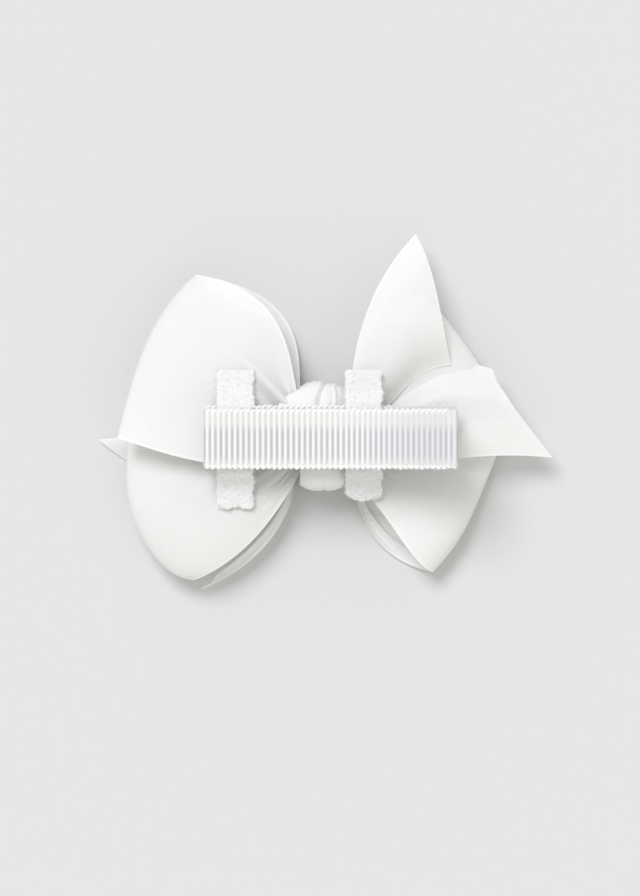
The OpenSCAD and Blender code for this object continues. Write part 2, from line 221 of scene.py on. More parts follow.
class Nodes:
    """Short names for building a material's node tree."""

    def __init__(self, name):
        self.mat = bpy.data.materials.new(name)
        self.mat.use_nodes = True
        self.tree = self.mat.node_tree
        self.tree.nodes.clear()
        self.out = self.tree.nodes.new("ShaderNodeOutputMaterial")

    def node(self, kind, **settings):
        n = self.tree.nodes.new(kind)
        for key, value in settings.items():
            setattr(n, key, value)
        return n

    def link(self, source, target):
        self.tree.links.new(source, target)

    def feed(self, target, value):
        if isinstance(value, bpy.types.NodeSocket):
            self.link(value, target)
        else:
            target.default_value = value

    def math(self, op, a, b=0.0, c=0.0):
        n = self.node("ShaderNodeMath", operation=op)
        for socket, value in zip(n.inputs, (a, b, c)):
            self.feed(socket, value)
        return n.outputs[0]

    def spread(self, value, a0, a1, b0=0.0, b1=1.0):
        n = self.node("ShaderNodeMapRange", interpolation_type="SMOOTHSTEP")
        for socket, v in zip(n.inputs, (value, a0, a1, b0, b1)):
            self.feed(socket, v)
        return n.outputs[0]

    def colours(self, factor, a, b):
        n = self.node("ShaderNodeMix", data_type="RGBA")
        self.feed(n.inputs[0], factor)
        self.feed(n.inputs[6], a if isinstance(a, bpy.types.NodeSocket) else (*a, 1.0))
        self.feed(n.inputs[7], b if isinstance(b, bpy.types.NodeSocket) else (*b, 1.0))
        return n.outputs[2]

    def noise(self, vector, scale, detail=3.0, roughness=0.55, distortion=0.0):
        n = self.node("ShaderNodeTexNoise")
        self.feed(n.inputs["Vector"], vector)
        n.inputs["Scale"].default_value = scale
        n.inputs["Detail"].default_value = detail
        n.inputs["Roughness"].default_value = roughness
        n.inputs["Distortion"].default_value = distortion
        return n.outputs["Fac"]

    def voronoi(self, vector, scale):
        n = self.node("ShaderNodeTexVoronoi")
        self.feed(n.inputs["Vector"], vector)
        n.inputs["Scale"].default_value = scale
        return n.outputs["Distance"]

    def ribbon_uv(self):
        """Across a ribbon's own length and width, in millimetres."""
        uv = self.node("ShaderNodeUVMap", uv_map="ribbon").outputs[0]
        return uv, self.axis(uv, 0), self.axis(uv, 1)

    def place(self):
        return self.node("ShaderNodeTexCoord").outputs["Object"]

    def axis(self, vector, index):
        parts = self.node("ShaderNodeSeparateXYZ")
        self.link(vector, parts.inputs[0])
        return parts.outputs[index]

    def bump(self, height, distance, strength):
        n = self.node("ShaderNodeBump")
        n.inputs["Strength"].default_value = strength
        n.inputs["Distance"].default_value = distance
        self.feed(n.inputs["Height"], height)
        return n.outputs[0]

    def principled(self, **values):
        n = self.node("ShaderNodeBsdfPrincipled")
        for key, value in values.items():
            self.feed(n.inputs[key.replace("_", " ")], value)
        return n

    def mixed(self, factor, a, b):
        n = self.node("ShaderNodeMixShader")
        self.feed(n.inputs[0], factor)
        self.link(a, n.inputs[1])
        self.link(b, n.inputs[2])
        return n.outputs[0]

    def done(self, shader):
        self.link(shader, self.out.inputs["Surface"])
        return self.mat


TURN = 2 * math.pi
WEFT_PITCH, WARP_PITCH = 0.37, 0.3
ORGANZA_WHITE, ORGANZA_SHADE = (0.955, 0.953, 0.946), (0.91, 0.905, 0.893)


def organza(name, sheer=0.16, glow=0.14, white=ORGANZA_WHITE, dark=ORGANZA_SHADE):
    """Sheer crisp ribbon: fine weft ribs, faint slubs, and a close selvedge along both edges.
    sheer is the share of it that is open, and glow the share of light that comes through it."""
    k = Nodes(name)
    uv, along, across = k.ribbon_uv()
    slub = k.noise(uv, 0.35, 4.0, 0.6)
    jitter = k.math("MULTIPLY", slub, 1.6)
    weft = k.math("SINE", k.math("ADD", k.math("MULTIPLY", along, TURN / WEFT_PITCH), jitter))
    warp = k.math("SINE", k.math("MULTIPLY", across, TURN / WARP_PITCH))
    weave = k.math("ADD", k.math("MULTIPLY", weft, 0.5), k.math("MULTIPLY", warp, 0.18))
    weave01 = k.math("MULTIPLY_ADD", weave, 0.5, 0.5)
    from_edge = k.math("MINIMUM", across, k.math("SUBTRACT", RIBBON_W, across))
    selvedge = k.spread(from_edge, 0.75, 0.35)
    cloud = k.noise(uv, 0.11, 3.0, 0.5)
    shade = k.math("MULTIPLY", k.math("ADD", k.math("MULTIPLY", weave01, 0.28),
                                      k.math("MULTIPLY", cloud, 0.6)),
                   k.math("SUBTRACT", 1.0, selvedge))
    colour = k.colours(shade, white, dark)
    normal = k.bump(weave, 0.00003, 0.55)
    face = k.principled(Base_Color=colour, Roughness=0.55, Normal=normal,
                        Specular_IOR_Level=0.22, Sheen_Weight=0.25, Sheen_Roughness=0.45)
    through = k.node("ShaderNodeBsdfTranslucent")
    k.link(colour, through.inputs["Color"])
    cloth = k.mixed(glow, face.outputs[0], through.outputs[0])
    clear = k.node("ShaderNodeBsdfTransparent")
    open_share = k.math("MULTIPLY", k.math("SUBTRACT", 1.0, k.math("MULTIPLY", selvedge, 0.5)),
                        k.math("MULTIPLY_ADD", weave01, 0.2 * sheer, 0.9 * sheer))
    return k.done(k.mixed(open_share, cloth, clear.outputs[0]))


RIB_PITCH, RIB_HALF, RIB_HEIGHT = 1.02, 0.21, 0.2
WEAVE_HALF_T = 0.15


def grosgrain(name):
    """Ribbed ribbon: bright round ribs across it, and grooves painted darker as painted shade, bluer
    over the middle where the steel shows a little.
    """
    k = Nodes(name)
    uv, along, across = k.ribbon_uv()
    cell = k.math("FRACT", k.math("DIVIDE", along, RIB_PITCH))
    off = k.math("ABSOLUTE", k.math("SUBTRACT", cell, 0.5))
    # painted shade: the grooves between the ribs are darkened
    groove_shade = k.spread(off, 0.17, 0.34)
    middle = k.spread(k.math("ABSOLUTE", k.math("ADD", across, 0.9)), 4.2, 1.8)
    yarn = k.noise(uv, 2.6, 3.0, 0.6)
    # painted shade in the grooves: grey at the edges, darker and bluer over the middle where the
    # steel shows through
    groove_shade_tint = k.colours(middle, (0.70, 0.71, 0.69), (0.52, 0.525, 0.56))
    base = k.colours(k.math("MULTIPLY", yarn, 0.35), (0.90, 0.90, 0.89), (0.80, 0.805, 0.81))
    # painted shade: the ribbon is darker towards the clip's right end, from x 4 to 20 mm, standing
    # in for the shade on the raised thumb end
    right_end_shade = k.spread(k.axis(k.place(), 0), 0.004, 0.020)
    base = k.colours(right_end_shade, base, (0.76, 0.765, 0.775))
    colour = k.colours(groove_shade, base, groove_shade_tint)
    ply = k.math("SINE", k.math("MULTIPLY", k.math("ADD", across, k.math("MULTIPLY", along, 0.55)),
                                TURN / 0.34))
    height = k.math("ADD", k.math("MULTIPLY", ply, 0.5), yarn)
    face = k.principled(Base_Color=colour, Roughness=0.48, Normal=k.bump(height, 0.00004, 0.6),
                        Specular_IOR_Level=0.35, Sheen_Weight=0.15)
    return k.done(face.outputs[0])


def felt(name):
    """White felt: matted fibres in small clumps, painted greyer in the hollows between them as
    painted shade, with a random patchy tone.
    """
    k = Nodes(name)
    place = k.place()
    clump = k.voronoi(place, 3600.0)
    fine = k.noise(place, 6500.0, 4.0, 0.7, 0.6)
    patchy = k.noise(place, 1300.0, 3.0, 0.6)
    # painted shade: the colour is darker where the clumps' bumps are low, between them
    hollow_shade = k.math("ADD", k.math("MULTIPLY", clump, 0.75), k.math("MULTIPLY", fine, 0.5))
    shade = k.spread(k.math("ADD", hollow_shade, k.math("MULTIPLY", patchy, 0.4)), 0.45, 1.05)
    colour = k.colours(shade, (0.95, 0.95, 0.945), (0.81, 0.815, 0.815))
    height = k.math("SUBTRACT", k.math("MULTIPLY", fine, 0.7), clump)
    face = k.principled(Base_Color=colour, Roughness=0.85, Normal=k.bump(height, 0.00010, 0.7),
                        Specular_IOR_Level=0.2, Sheen_Weight=0.4)
    return k.done(face.outputs[0])


def yarn_white(name, white, shade, roughness=0.5):
    """Plain white yarn, for selvedge loops, loose fibres and thread."""
    k = Nodes(name)
    place = k.place()
    fibre = k.noise(place, 3600.0, 3.0, 0.65, 0.4)
    colour = k.colours(k.spread(fibre, 0.3, 0.75), white, shade)
    face = k.principled(Base_Color=colour, Roughness=roughness, Normal=k.bump(fibre, 0.00004, 0.7),
                        Specular_IOR_Level=0.3, Sheen_Weight=0.2)
    return k.done(face.outputs[0])


def steel(name, colour, worn, roughness, stretch):
    """Drawn sheet steel: fine lines along it, faint blotches, duller in places."""
    k = Nodes(name)
    place = k.place()
    scale = k.node("ShaderNodeMapping")
    scale.inputs["Scale"].default_value = stretch
    k.link(place, scale.inputs["Vector"])
    lines = k.noise(scale.outputs[0], 900.0, 3.0, 0.6)
    blotch = k.noise(place, 260.0, 4.0, 0.6)
    tone = k.math("ADD", k.math("MULTIPLY", lines, 0.5), k.math("MULTIPLY", blotch, 0.5))
    base = k.colours(k.spread(tone, 0.3, 0.7), colour, worn)
    rough = k.spread(tone, 0.2, 0.8, roughness - 0.07, roughness + 0.12)
    face = k.principled(Base_Color=base, Metallic=1.0, Roughness=rough,
                        Normal=k.bump(lines, 0.00001, 0.4))
    return k.done(face.outputs[0])


def hot_glue(name):
    """Set hot-melt glue: milky, a little yellow, with small ripples and a soft gloss."""
    k = Nodes(name)
    place = k.place()
    ripple = k.noise(place, 520.0, 3.0, 0.5, 0.8)
    colour = k.colours(k.spread(ripple, 0.3, 0.7), (0.93, 0.91, 0.85), (0.86, 0.83, 0.75))
    face = k.principled(Base_Color=colour, Roughness=0.22, Normal=k.bump(ripple, 0.00008, 0.6),
                        Subsurface_Weight=0.2, Subsurface_Scale=0.001)
    return k.done(face.outputs[0])


def floor_material(name):
    k = Nodes(name)
    place = k.place()
    grain = k.noise(place, 400.0, 2.0, 0.5)
    colour = k.colours(grain, (0.696, 0.696, 0.695), (0.704, 0.704, 0.703))
    face = k.principled(Base_Color=colour, Roughness=0.9, Specular_IOR_Level=0.1)
    return k.done(face.outputs[0])


ORGANZA = organza("organza_ribbon")
ORGANZA_TAIL = organza("organza_tail", sheer=0.2, glow=0.14)
# painted light: a lighter, less open copy of the organza for the lower right loop, the right tail
# and the lower left tail, which would otherwise come out in too much shade
ORGANZA_LIGHTENED = organza("organza_lightened", sheer=0.12, glow=0.11, white=(0.968, 0.966, 0.959),
                        dark=(0.925, 0.92, 0.907))
# painted light: the knot and its core get a lighter copy of the organza, set to their lit
# brightness; it is nearly closed, as the gathered layers are
ORGANZA_KNOT_LIGHTENED = organza("organza_knot_lightened", sheer=0.03, glow=0.1, white=(0.97, 0.967, 0.957),
                       dark=(0.93, 0.922, 0.905))
SELVEDGE = yarn_white("organza_selvedge", (0.965, 0.963, 0.955), (0.9, 0.9, 0.89), 0.45)
GROSGRAIN = grosgrain("grosgrain_ribbon")
PICOT = yarn_white("grosgrain_picot", (0.98, 0.98, 0.975), (0.93, 0.93, 0.93))
FELT = felt("white_felt")
FIBRE = yarn_white("felt_fibre", (0.97, 0.97, 0.965), (0.88, 0.88, 0.88), 0.7)
THREAD = yarn_white("sewing_thread", (0.93, 0.92, 0.89), (0.78, 0.77, 0.74), 0.6)
PLATED = steel("plated_steel", (0.78, 0.78, 0.77), (0.66, 0.66, 0.65), 0.26, (1.0, 9.0, 9.0))
SPRING = steel("spring_steel", (0.5, 0.5, 0.5), (0.38, 0.38, 0.39), 0.34, (9.0, 1.0, 9.0))
GLUE = hot_glue("hot_melt_glue")


# ---- camera, floor and light ----

def add_stage():
    camera = bpy.data.cameras.new("camera")
    height, distance, plane = 0.1644, 1.2, 0.010
    camera.sensor_fit = "VERTICAL"
    camera.sensor_height = 24.0
    camera.lens = 24.0 * distance / height
    camera.clip_end = 20.0
    viewer = bpy.data.objects.new("camera", camera)
    viewer.location = (-0.0009, -0.0066, plane + distance)
    bpy.context.scene.collection.objects.link(viewer)
    bpy.context.scene.camera = viewer

    size = 2.5
    floor = new_object("floor", np.array([[-size, -size, 0], [size, -size, 0],
                                          [size, size, 0], [-size, size, 0]]) / MM,
                       [(0, 1, 2, 3)], floor_material("paper_floor"), smooth=False)

    def sun(name, azimuth, elevation, strength, angle, colour):
        """Light that comes from azimuth, counted anticlockwise from +X, at an elevation."""
        lamp = bpy.data.lights.new(name, "SUN")
        lamp.energy = strength
        lamp.color = colour
        lamp.angle = math.radians(angle)
        obj = bpy.data.objects.new(name, lamp)
        a, e = math.radians(azimuth), math.radians(elevation)
        towards = Vector((math.cos(e) * math.cos(a), math.cos(e) * math.sin(a), math.sin(e)))
        obj.rotation_euler = towards.to_track_quat("Z", "Y").to_euler()
        bpy.context.scene.collection.objects.link(obj)

    sun("key_light", 121, 58, 1.75, 25, (0.985, 1.0, 1.03))
    sun("fill_light", -70, 36, 0.43, 80, (1.0, 0.992, 0.98))
    world = bpy.data.worlds.new("studio")
    world.use_nodes = True
    background = world.node_tree.nodes["Background"]
    background.inputs["Color"].default_value = (1.008, 0.996, 0.966, 1.0)
    background.inputs["Strength"].default_value = 0.59
    bpy.context.scene.world = world
    bpy.context.scene.view_settings.view_transform = "Standard"
    bpy.context.scene.view_settings.look = "None"


add_stage()


# ---- the ribbon's loops and tails ----

AROUND, ACROSS = ((190, 110))
LONG = 130
SELVEDGE_R, TAIL_CORD_R = 0.04, 0.034
LOOP_RIPPLE, TAIL_RIPPLE = 0.24, 0.22
FLOOR_GAP, PRESS = 0.06, 0.3
# Pleats at the knot: how many, how deep, and how far they reach along the panel
BACK_PLEATS, TAIL_PLEATS = (9, 0.3, 0.5), (8, 0.25, 0.5)
FRONT_PLEATS = 10

# A loop: its root and height there, the low and high edges of its back and front panels, its rim,
# the heights of the fold's middle, its half depths, the soft folds of its back and front panels,
# the depth and reach of the gathers at the knot, the phase of its waves, and its cloth.
# Edges are the three further points of a curve in plan; middle and depth run from low to high.
LOOPS = {
    "upper_left_loop": dict(
        root=UPPER_LEFT_ROOT, z=11.5, low=((-14, -13), (-27, -8.5), (-38.2, -4.6)),
        back_high=((-7.4, 3.8), (-3.2, 21.6), (-23.9, 25.3)),
        front_high=((-7.4, 3.8), (2.6, 22.2), (-23.9, 25.3)),
        rim=((-31.8, 19), (-36.3, 4.8)), middle=(12.2, 9.2, 5.2), depth=(1.3, 4.2, 5.2),
        back_folds=((0.77, 0.66, 1.05, 2.3, 0.8), (0.60, 0.64, 1.2, -0.7, 0.66),
                    (0.89, 0.84, 1.2, -0.6, 0.66), (0.35, 0.25, 2.4, 0.4, 0.8)),
        front_folds=((0.3, 0.3, 1.4, -1.1, 0.7), (0.5, 0.5, 1.4, 1, 0.7),
                     (0.72, 0.72, 1.3, -1, 0.65)),
        gather=(0.9, 0.8), phase=0.4),
    "lower_left_loop": dict(
        root=LOWER_LEFT_ROOT, z=8.2, low=((-6, -13.5), (-12.8, -27.4), (-24.4, -30.7)),
        back_high=((-13, -2.5), (-24, -3), (-36, -3)),
        front_high=((-13, -2.5), (-24, -3), (-36, -3)),
        rim=((-38.4, -13.5), (-34.5, -30)), middle=(5.4, 7, 3.4), depth=(3, 4.8, 1),
        back_folds=((0.22, 0.22, 1.3, -0.6, 0.45), (0.4, 0.4, 1.6, 0.5, 0.5),
                    (0.62, 0.62, 1.6, -0.4, 0.55)),
        front_folds=((0.25, 0.25, 1.3, -1, 0.6), (0.45, 0.45, 1.6, 0.9, 0.65),
                     (0.7, 0.7, 1.6, -0.8, 0.6)),
        gather=(1.45, 1.0), phase=1.9),
    "upper_right_loop": dict(
        root=UPPER_RIGHT_ROOT, z=9.5, low=((12, -6), (22, -1), (31, 3.6)),
        back_high=((6, 4.5), (6.5, 20), (18, 21.4)),
        front_high=((6, 4.5), (6.5, 20), (18, 21.4)),
        rim=((23, 16.6), (28.8, 10)), middle=(6.7, 5.6, 4.2), depth=(1.1, 3.2, 4),
        back_folds=((0.4, 0.4, 1.6, -0.5, 0.5), (0.65, 0.65, 1.6, 0.5, 0.5)),
        front_folds=((0.3, 0.3, 1.6, 0.8, 0.6), (0.55, 0.55, 1.6, -0.9, 0.65),
                     (0.78, 0.78, 1.3, 0.7, 0.6)),
        gather=(1.9, 1.0), phase=3.1),
    "lower_right_loop": dict(
        root=LOWER_RIGHT_ROOT, z=6.6, low=((7.5, -13.5), (14, -22.5), (19.9, -29.5)),
        back_high=((13, -2), (24, -1.5), (33.2, -1.5)),
        front_low=((5.9, -14), (7, -29.6), (19.9, -29.5)),
        front_high=((13, -2), (24, -1.5), (33.2, -1.5)),
        rim=((31.2, -12), (27, -22)), middle=(4.3, 5, 1.7), depth=(3.4, 4.4, 1),
        back_folds=((0.18, 0.18, 1.4, 0.5, 0.5), (0.42, 0.42, 1.6, -0.5, 0.5),
                    (0.7, 0.7, 1.6, 0.4, 0.5)),
        front_folds=((0.3, 0.3, 1.6, -1, 0.6), (0.5, 0.5, 1.6, 0.9, 0.6),
                     (0.75, 0.75, 1.3, -0.8, 0.6)),
        gather=(1.25, 0.95), phase=4.6, cloth=ORGANZA_LIGHTENED),
}

# A tail: its root and height there, its low and high edges, its rim, its heights halfway out and
# at the rim, its soft folds, the edges that have a cord, the edges that sink (which one, from 0
# low to 1 high, how wide a share, how deep), and its cut (width, share of the full rectangle).
TAILS = {
    "upper_right_tail": dict(
        root=UPPER_RIGHT_ROOT, z=12.25, low=((9.8, -5.3), (13.2, 7.8), (23.2, 8.6)),
        high=((6.6, 3.4), (2.6, 17.6), (16.7, 32.8)), rim=((20.5, 26), (21.3, 16)),
        halfway=(11.8, 15.2, 12.8), end=(9.9, 12.9, 6.5),
        folds=((0.3, 0.34, 1.3, 0.9, 0.7), (0.52, 0.5, 1.3, -0.8, 0.7), (0.8, 0.8, 1.1, 0.5, 0.5)),
        edges="rim high", dips=((0, 0.16, 1.2),), cut=(19.0, 0.68), phase=0.9),
    "right_tail": dict(
        root=LOWER_RIGHT_ROOT, z=11, low=((12, -12), (24, -6.5), (41.8, -8.3)),
        high=((9.5, -2.5), (16, 13.6), (30.8, 7.9)), rim=((32, 3.6), (36.2, -1)),
        halfway=(13.2, 13.6, 10.4), end=(6.2, 11.2, 8.2),
        folds=((0.6, 0.62, 1.7, 1.7, 1.2), (0.3, 0.3, 1.6, -0.5, 0.9)),
        edges="low rim", dips=((1, 0.26, 1.5),), cut=(19.0, 0.9), phase=2.2,
        cloth=ORGANZA_LIGHTENED),
    "left_tail": dict(
        root=LOWER_LEFT_ROOT, z=6.2, low=((-12, -9), (-22, -10.5), (-33, -11.6)),
        high=((-13, -3), (-27, -3.6), (-41.8, -5.1)), rim=((-38.9, -7.3), (-36, -9.4)),
        halfway=(0.5, 0.7, 0.9), end=(0.3, 0.5, 1),
        folds=((0.4, 0.4, 1.6, 0.3, 0.4),), edges="low rim high", cut=(19.0, 0.42), phase=3.3),
    "lower_left_tail": dict(
        root=LOWER_LEFT_ROOT, z=4.55, low=((-6.2, -15), (-6.8, -26), (-22.9, -32.7)),
        high=((-4.6, -13), (-9, -22.5), (-19.4, -29.6)), rim=((-20.4, -30.7), (-21.6, -31.8)),
        halfway=(6.1, 6.3, 6.4), end=(2.8, 3, 3.2),
        folds=(), edges="low rim high", cut=(10.0, 0.33), phase=5.0,
        cloth=ORGANZA_LIGHTENED),
}


def loop_points(d, around, t):
    """The plain loop: around runs from 0 at the root of the back panel to pi at the front's."""
    s = np.sin(around)
    front = (1 - np.cos(around)) / 2
    back_p = patch(d["root"], d["low"], d["back_high"], d["rim"], s, t)
    front_p = patch(d["root"], d.get("front_low", d["low"]), d["front_high"], d["rim"], s, t)
    plan = mix(back_p, front_p, front[..., None])
    middle = mix(d["z"], bez2(d["middle"], t), s * (2 - s))
    depth = ROOT_HALF * np.cos(around) + bez2(d["depth"], t) * np.sin(2 * around)
    return np.concatenate([plan, (middle + depth)[..., None]], axis=-1)


def loop_surface(d):
    """The loop's sheet with its folds, pleats and ripples: rows run round it, columns across."""
    around, t = np.meshgrid(np.linspace(0, math.pi, AROUND + 1), np.linspace(0, 1, ACROSS + 1),
                            indexing="ij")
    p = loop_points(d, around, t)
    n = surface_normals(p)
    n = n * np.where(n[AROUND // 4, ACROSS // 2, 2] < 0, -1.0, 1.0)
    s = np.sin(around)
    on_back = smooth_step(np.cos(around), -0.25, 0.25)
    wide = row_widths(p)
    lift = folds_at(d["back_folds"], s, t, wide) * on_back
    lift = lift - folds_at(d["front_folds"], s, t, wide) * (1 - on_back)
    count, deep, reach = BACK_PLEATS
    lift = lift + pleats_at(count, d["phase"], deep, reach, s, t) * on_back
    deep, reach = d["gather"]
    gathers = pleats_at(FRONT_PLEATS, d["phase"] + 1.3, deep, reach, s, t)
    lift = lift + (gathers - 0.6 * np.abs(gathers)) * (1 - on_back)
    lift = lift + ripples_at(LOOP_RIPPLE, d["phase"], s, t)
    return p + n * lift[..., None]


def tail_surface(d):
    """The tail's sheet, from its root to its rim, with its folds, pleats and ripples."""
    s, t = np.meshgrid(np.linspace(0, 1, LONG + 1), np.linspace(0, 1, ACROSS + 1), indexing="ij")
    plan = patch(d["root"], d["low"], d["high"], d["rim"], s, t)
    z = bez2((d["z"], bez2(d["halfway"], t), bez2(d["end"], t)), s)
    for edge, width, depth in d.get("dips", ()):
        z = z - depth * np.exp(-((t - edge) / width) ** 2) * smooth_step(s, 0.1, 0.5)
    p = np.concatenate([plan, z[..., None]], axis=-1)
    n = surface_normals(p)
    n = n * np.where(n[LONG // 2, ACROSS // 2, 2] < 0, -1.0, 1.0)
    count, deep, reach = TAIL_PLEATS
    lift = folds_at(d["folds"], s, t, row_widths(p))
    lift = lift + pleats_at(count, d["phase"], deep, reach, s, t)
    lift = lift + ripples_at(TAIL_RIPPLE, d["phase"], s, t)
    return p + n * lift[..., None]


def keep_off_floor(p):
    """Presses anything that would go through the floor gently flat against it."""
    z = p[..., 2]
    pressed = FLOOR_GAP + PRESS * np.exp((z - FLOOR_GAP - PRESS) / PRESS)
    p[..., 2] = np.where(z < FLOOR_GAP + PRESS, pressed, z)
    return p


def ribbon_uv(p):
    """Distance along the ribbon and across it, in millimetres of the flat ribbon."""
    middle = p[:, p.shape[1] // 2]
    steps = np.linalg.norm(np.diff(middle, axis=0), axis=1)
    along = np.concatenate([[0], np.cumsum(steps)])
    across = np.linspace(0, RIBBON_W, p.shape[1])
    return np.stack(np.meshgrid(along, across, indexing="ij"), axis=-1), along[-1]


def sheet_area(p):
    a = p[1:, 1:] - p[:-1, :-1]
    b = p[1:, :-1] - p[:-1, 1:]
    return 0.5 * np.linalg.norm(np.cross(a, b), axis=-1).sum()


def edge_cords(name, lines, radius, body):
    """The woven or sealed edges of a ribbon, as fine cords along them."""
    rings = []
    for line in lines:
        points = tube_points(line, radius, 6)
        rings.append((points, grid_faces(len(line), 6, close_cols=True)))
    points, faces = merged(rings)
    obj = new_object(name, points, faces, SELVEDGE)
    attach(obj, body)
    return obj


measured = {}
for node, d in LOOPS.items():
    surface = keep_off_floor(loop_surface(d))
    uv, length = ribbon_uv(surface)
    sheet = grid_object(node + "_ribbon", surface, d.get("cloth", ORGANZA), uv)
    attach(sheet, "bow")
    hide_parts(node)
    cords = edge_cords(node + "_selvedge", [surface[:, 0], surface[:, -1]], SELVEDGE_R, "bow")
    measured[node] = (length, sheet_area(surface) / (RIBBON_W * length))

for node, d in TAILS.items():
    surface = keep_off_floor(tail_surface(d))
    uv, length = ribbon_uv(surface)
    sheet = grid_object(node + "_ribbon", surface, d.get("cloth", ORGANZA_TAIL), uv)
    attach(sheet, "bow")
    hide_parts(node)
    sides = {"low": surface[:, 0], "rim": surface[-1, :], "high": surface[:, -1]}
    edges = [sides[side] for side in d["edges"].split()]
    cords = edge_cords(node + "_edges", edges, TAIL_CORD_R, "bow")
    width, share = d["cut"]
    measured[node] = (length, sheet_area(surface) / (width * length * share))

for node, values in measured.items():
    print("sheet", node, "length %.1f mm, cloth to flat %.2f" % values)


# ---- the knot: a ribbon wound round the gathered core ----

def rounded(a, b, power, angle):
    """Points of a rounded box with half sizes a and b; a larger power is squarer."""
    c, s = np.cos(angle), np.sin(angle)
    return (a * np.sign(c) * np.abs(c) ** (2 / power), b * np.sign(s) * np.abs(s) ** (2 / power))


HOLE_Y, HOLE_Z = KNOT_H / 2 - WRAP_T, KNOT_D / 2 - WRAP_T
BOX_POWER = 3.2


def knot_wrap():
    """The wrap as a ring: two lobes with a crease between them, one smooth and one gathered,
    and its left edge spread out over the loop beside it."""
    turns, wide, inner = 160, 72, 6
    spread_most, inner_gap = 4.2, 0.1
    thinnest, edge_drop = 0.25, 1.1
    angle = np.linspace(0, TURN, turns, endpoint=False)
    u = np.linspace(0, 1, wide)
    a, u2 = np.meshgrid(angle, u, indexing="ij")
    lobe = WRAP_T - edge_drop * np.abs(2 * u2 - 1) ** 3
    on_top = smooth_step(np.cos(a), -0.3, 0.6)
    on_face = 0.5 - 0.5 * np.sin(a)
    crease_at = 0.53 + 0.03 * np.sin(a + 0.6)
    crease = 0.15 + 0.5 * on_top
    lobe = lobe - crease * np.exp(-((u2 - crease_at) / 0.05) ** 2)
    lobe = lobe - 0.35 * on_top * smooth_step(u2, 0.5, 0.66)
    drift = u2 + 0.035 * np.sin(2 * a + 1.0) + 0.02 * np.sin(5 * a)
    pleat = 0.11 * np.sin(TURN * 6.5 * drift) + 0.06 * np.sin(TURN * 11 * drift + 3 * a)
    gathered = np.maximum(on_face, smooth_step(u2, 0.55, 0.7) * on_top)
    pleat = pleat * mix(0.08, 1.0, gathered)
    lobe = lobe + pleat * (1 - np.abs(2 * u2 - 1) ** 4) * (0.7 + 0.3 * np.sin(3 * a + 5 * u2))
    lobe = np.maximum(lobe, thinnest)
    spread = spread_most * smooth_step(a, 0.25, 1.25) * smooth_step(-a, -1.95, -1.45)
    x = mix(KNOT_LEFT, KNOT_RIGHT, u2) - spread * (1 - u2) ** 1.6
    lobe = lobe + 0.1 * spread * (1 - u2)
    y, z = rounded(HOLE_Y + lobe, HOLE_Z + lobe, BOX_POWER, a)
    outer = np.stack([x, KNOT_Y + y, KNOT_Z + z], axis=-1)
    back = np.linspace(KNOT_RIGHT, KNOT_LEFT, inner)
    a3, x3 = np.meshgrid(angle, back, indexing="ij")
    y3, z3 = rounded(HOLE_Y + inner_gap, HOLE_Z + inner_gap, BOX_POWER, a3)
    ring = np.concatenate([outer, np.stack([x3, KNOT_Y + y3, KNOT_Z + z3], axis=-1)], axis=1)
    around = np.cumsum(np.concatenate(
        [[0], np.linalg.norm(np.diff(outer[:, wide // 2], axis=0), axis=1)]))
    near, far = 2, 32
    across = np.concatenate([near + u * (far - near), np.linspace(far, near, inner)])
    uv = np.stack(np.meshgrid(around, across, indexing="ij"), axis=-1)
    return grid_object("knot_wrap_ribbon", ring, ORGANZA_KNOT_LIGHTENED, uv, close_rows=True,
                       close_cols=True), around[-1]


wrap, wrap_length = knot_wrap()
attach(wrap, "bow")
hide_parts("knot_wrap")


def gathered_core():
    """The pleated middles of the ribbon layers, pulled in at the waist by the thread."""
    turns, long = 144, 26
    inset, slack, pleats, pleat_depth = 1.2, 0.22, 17, 0.2
    waist_depth, waist_x, waist_half = 0.75, -0.47, 0.8
    angle = np.linspace(0, TURN, turns, endpoint=False)
    x = np.linspace(KNOT_LEFT + inset, KNOT_RIGHT - inset, long)
    waist = waist_depth * np.exp(-((x - waist_x) / waist_half) ** 2)
    x2, a2 = np.meshgrid(x, angle, indexing="ij")
    pleat = pleat_depth * np.sin(pleats * a2 + 0.8 * x2)
    pull = waist[:, None] + slack + pleat * (1 - 0.5 * waist[:, None])
    y, z = rounded(HOLE_Y - pull, HOLE_Z - pull, BOX_POWER, a2)
    ring = np.stack([x2, KNOT_Y + y, KNOT_Z + z], axis=-1)
    faces = grid_faces(long, turns, close_cols=True)
    caps = []
    points = [ring.reshape(-1, 3)]
    n = long * turns
    for row, turned in ((0, False), (long - 1, True)):
        middle = ring[row].mean(axis=0)
        inner_ring = mix(middle, ring[row], 0.5)
        inner_ring[:, 0] += (0.25 if turned else -0.25) * np.sin(9 * angle)
        points += [inner_ring, middle[None]]
        for j in range(turns):
            k = (j + 1) % turns
            quad = (row * turns + j, row * turns + k, n + k, n + j)
            tri = (n + j, n + k, n + turns)
            caps += [quad[::-1] if not turned else quad, tri[::-1] if not turned else tri]
        n += turns + 1
    points = np.concatenate(points)
    uv = points[:, [0, 1]] + 12
    return new_object("gathered_core_ribbon", points, faces + caps, ORGANZA_KNOT_LIGHTENED, uv)


core = gathered_core()
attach(core, "bow")
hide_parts("gathered_core")


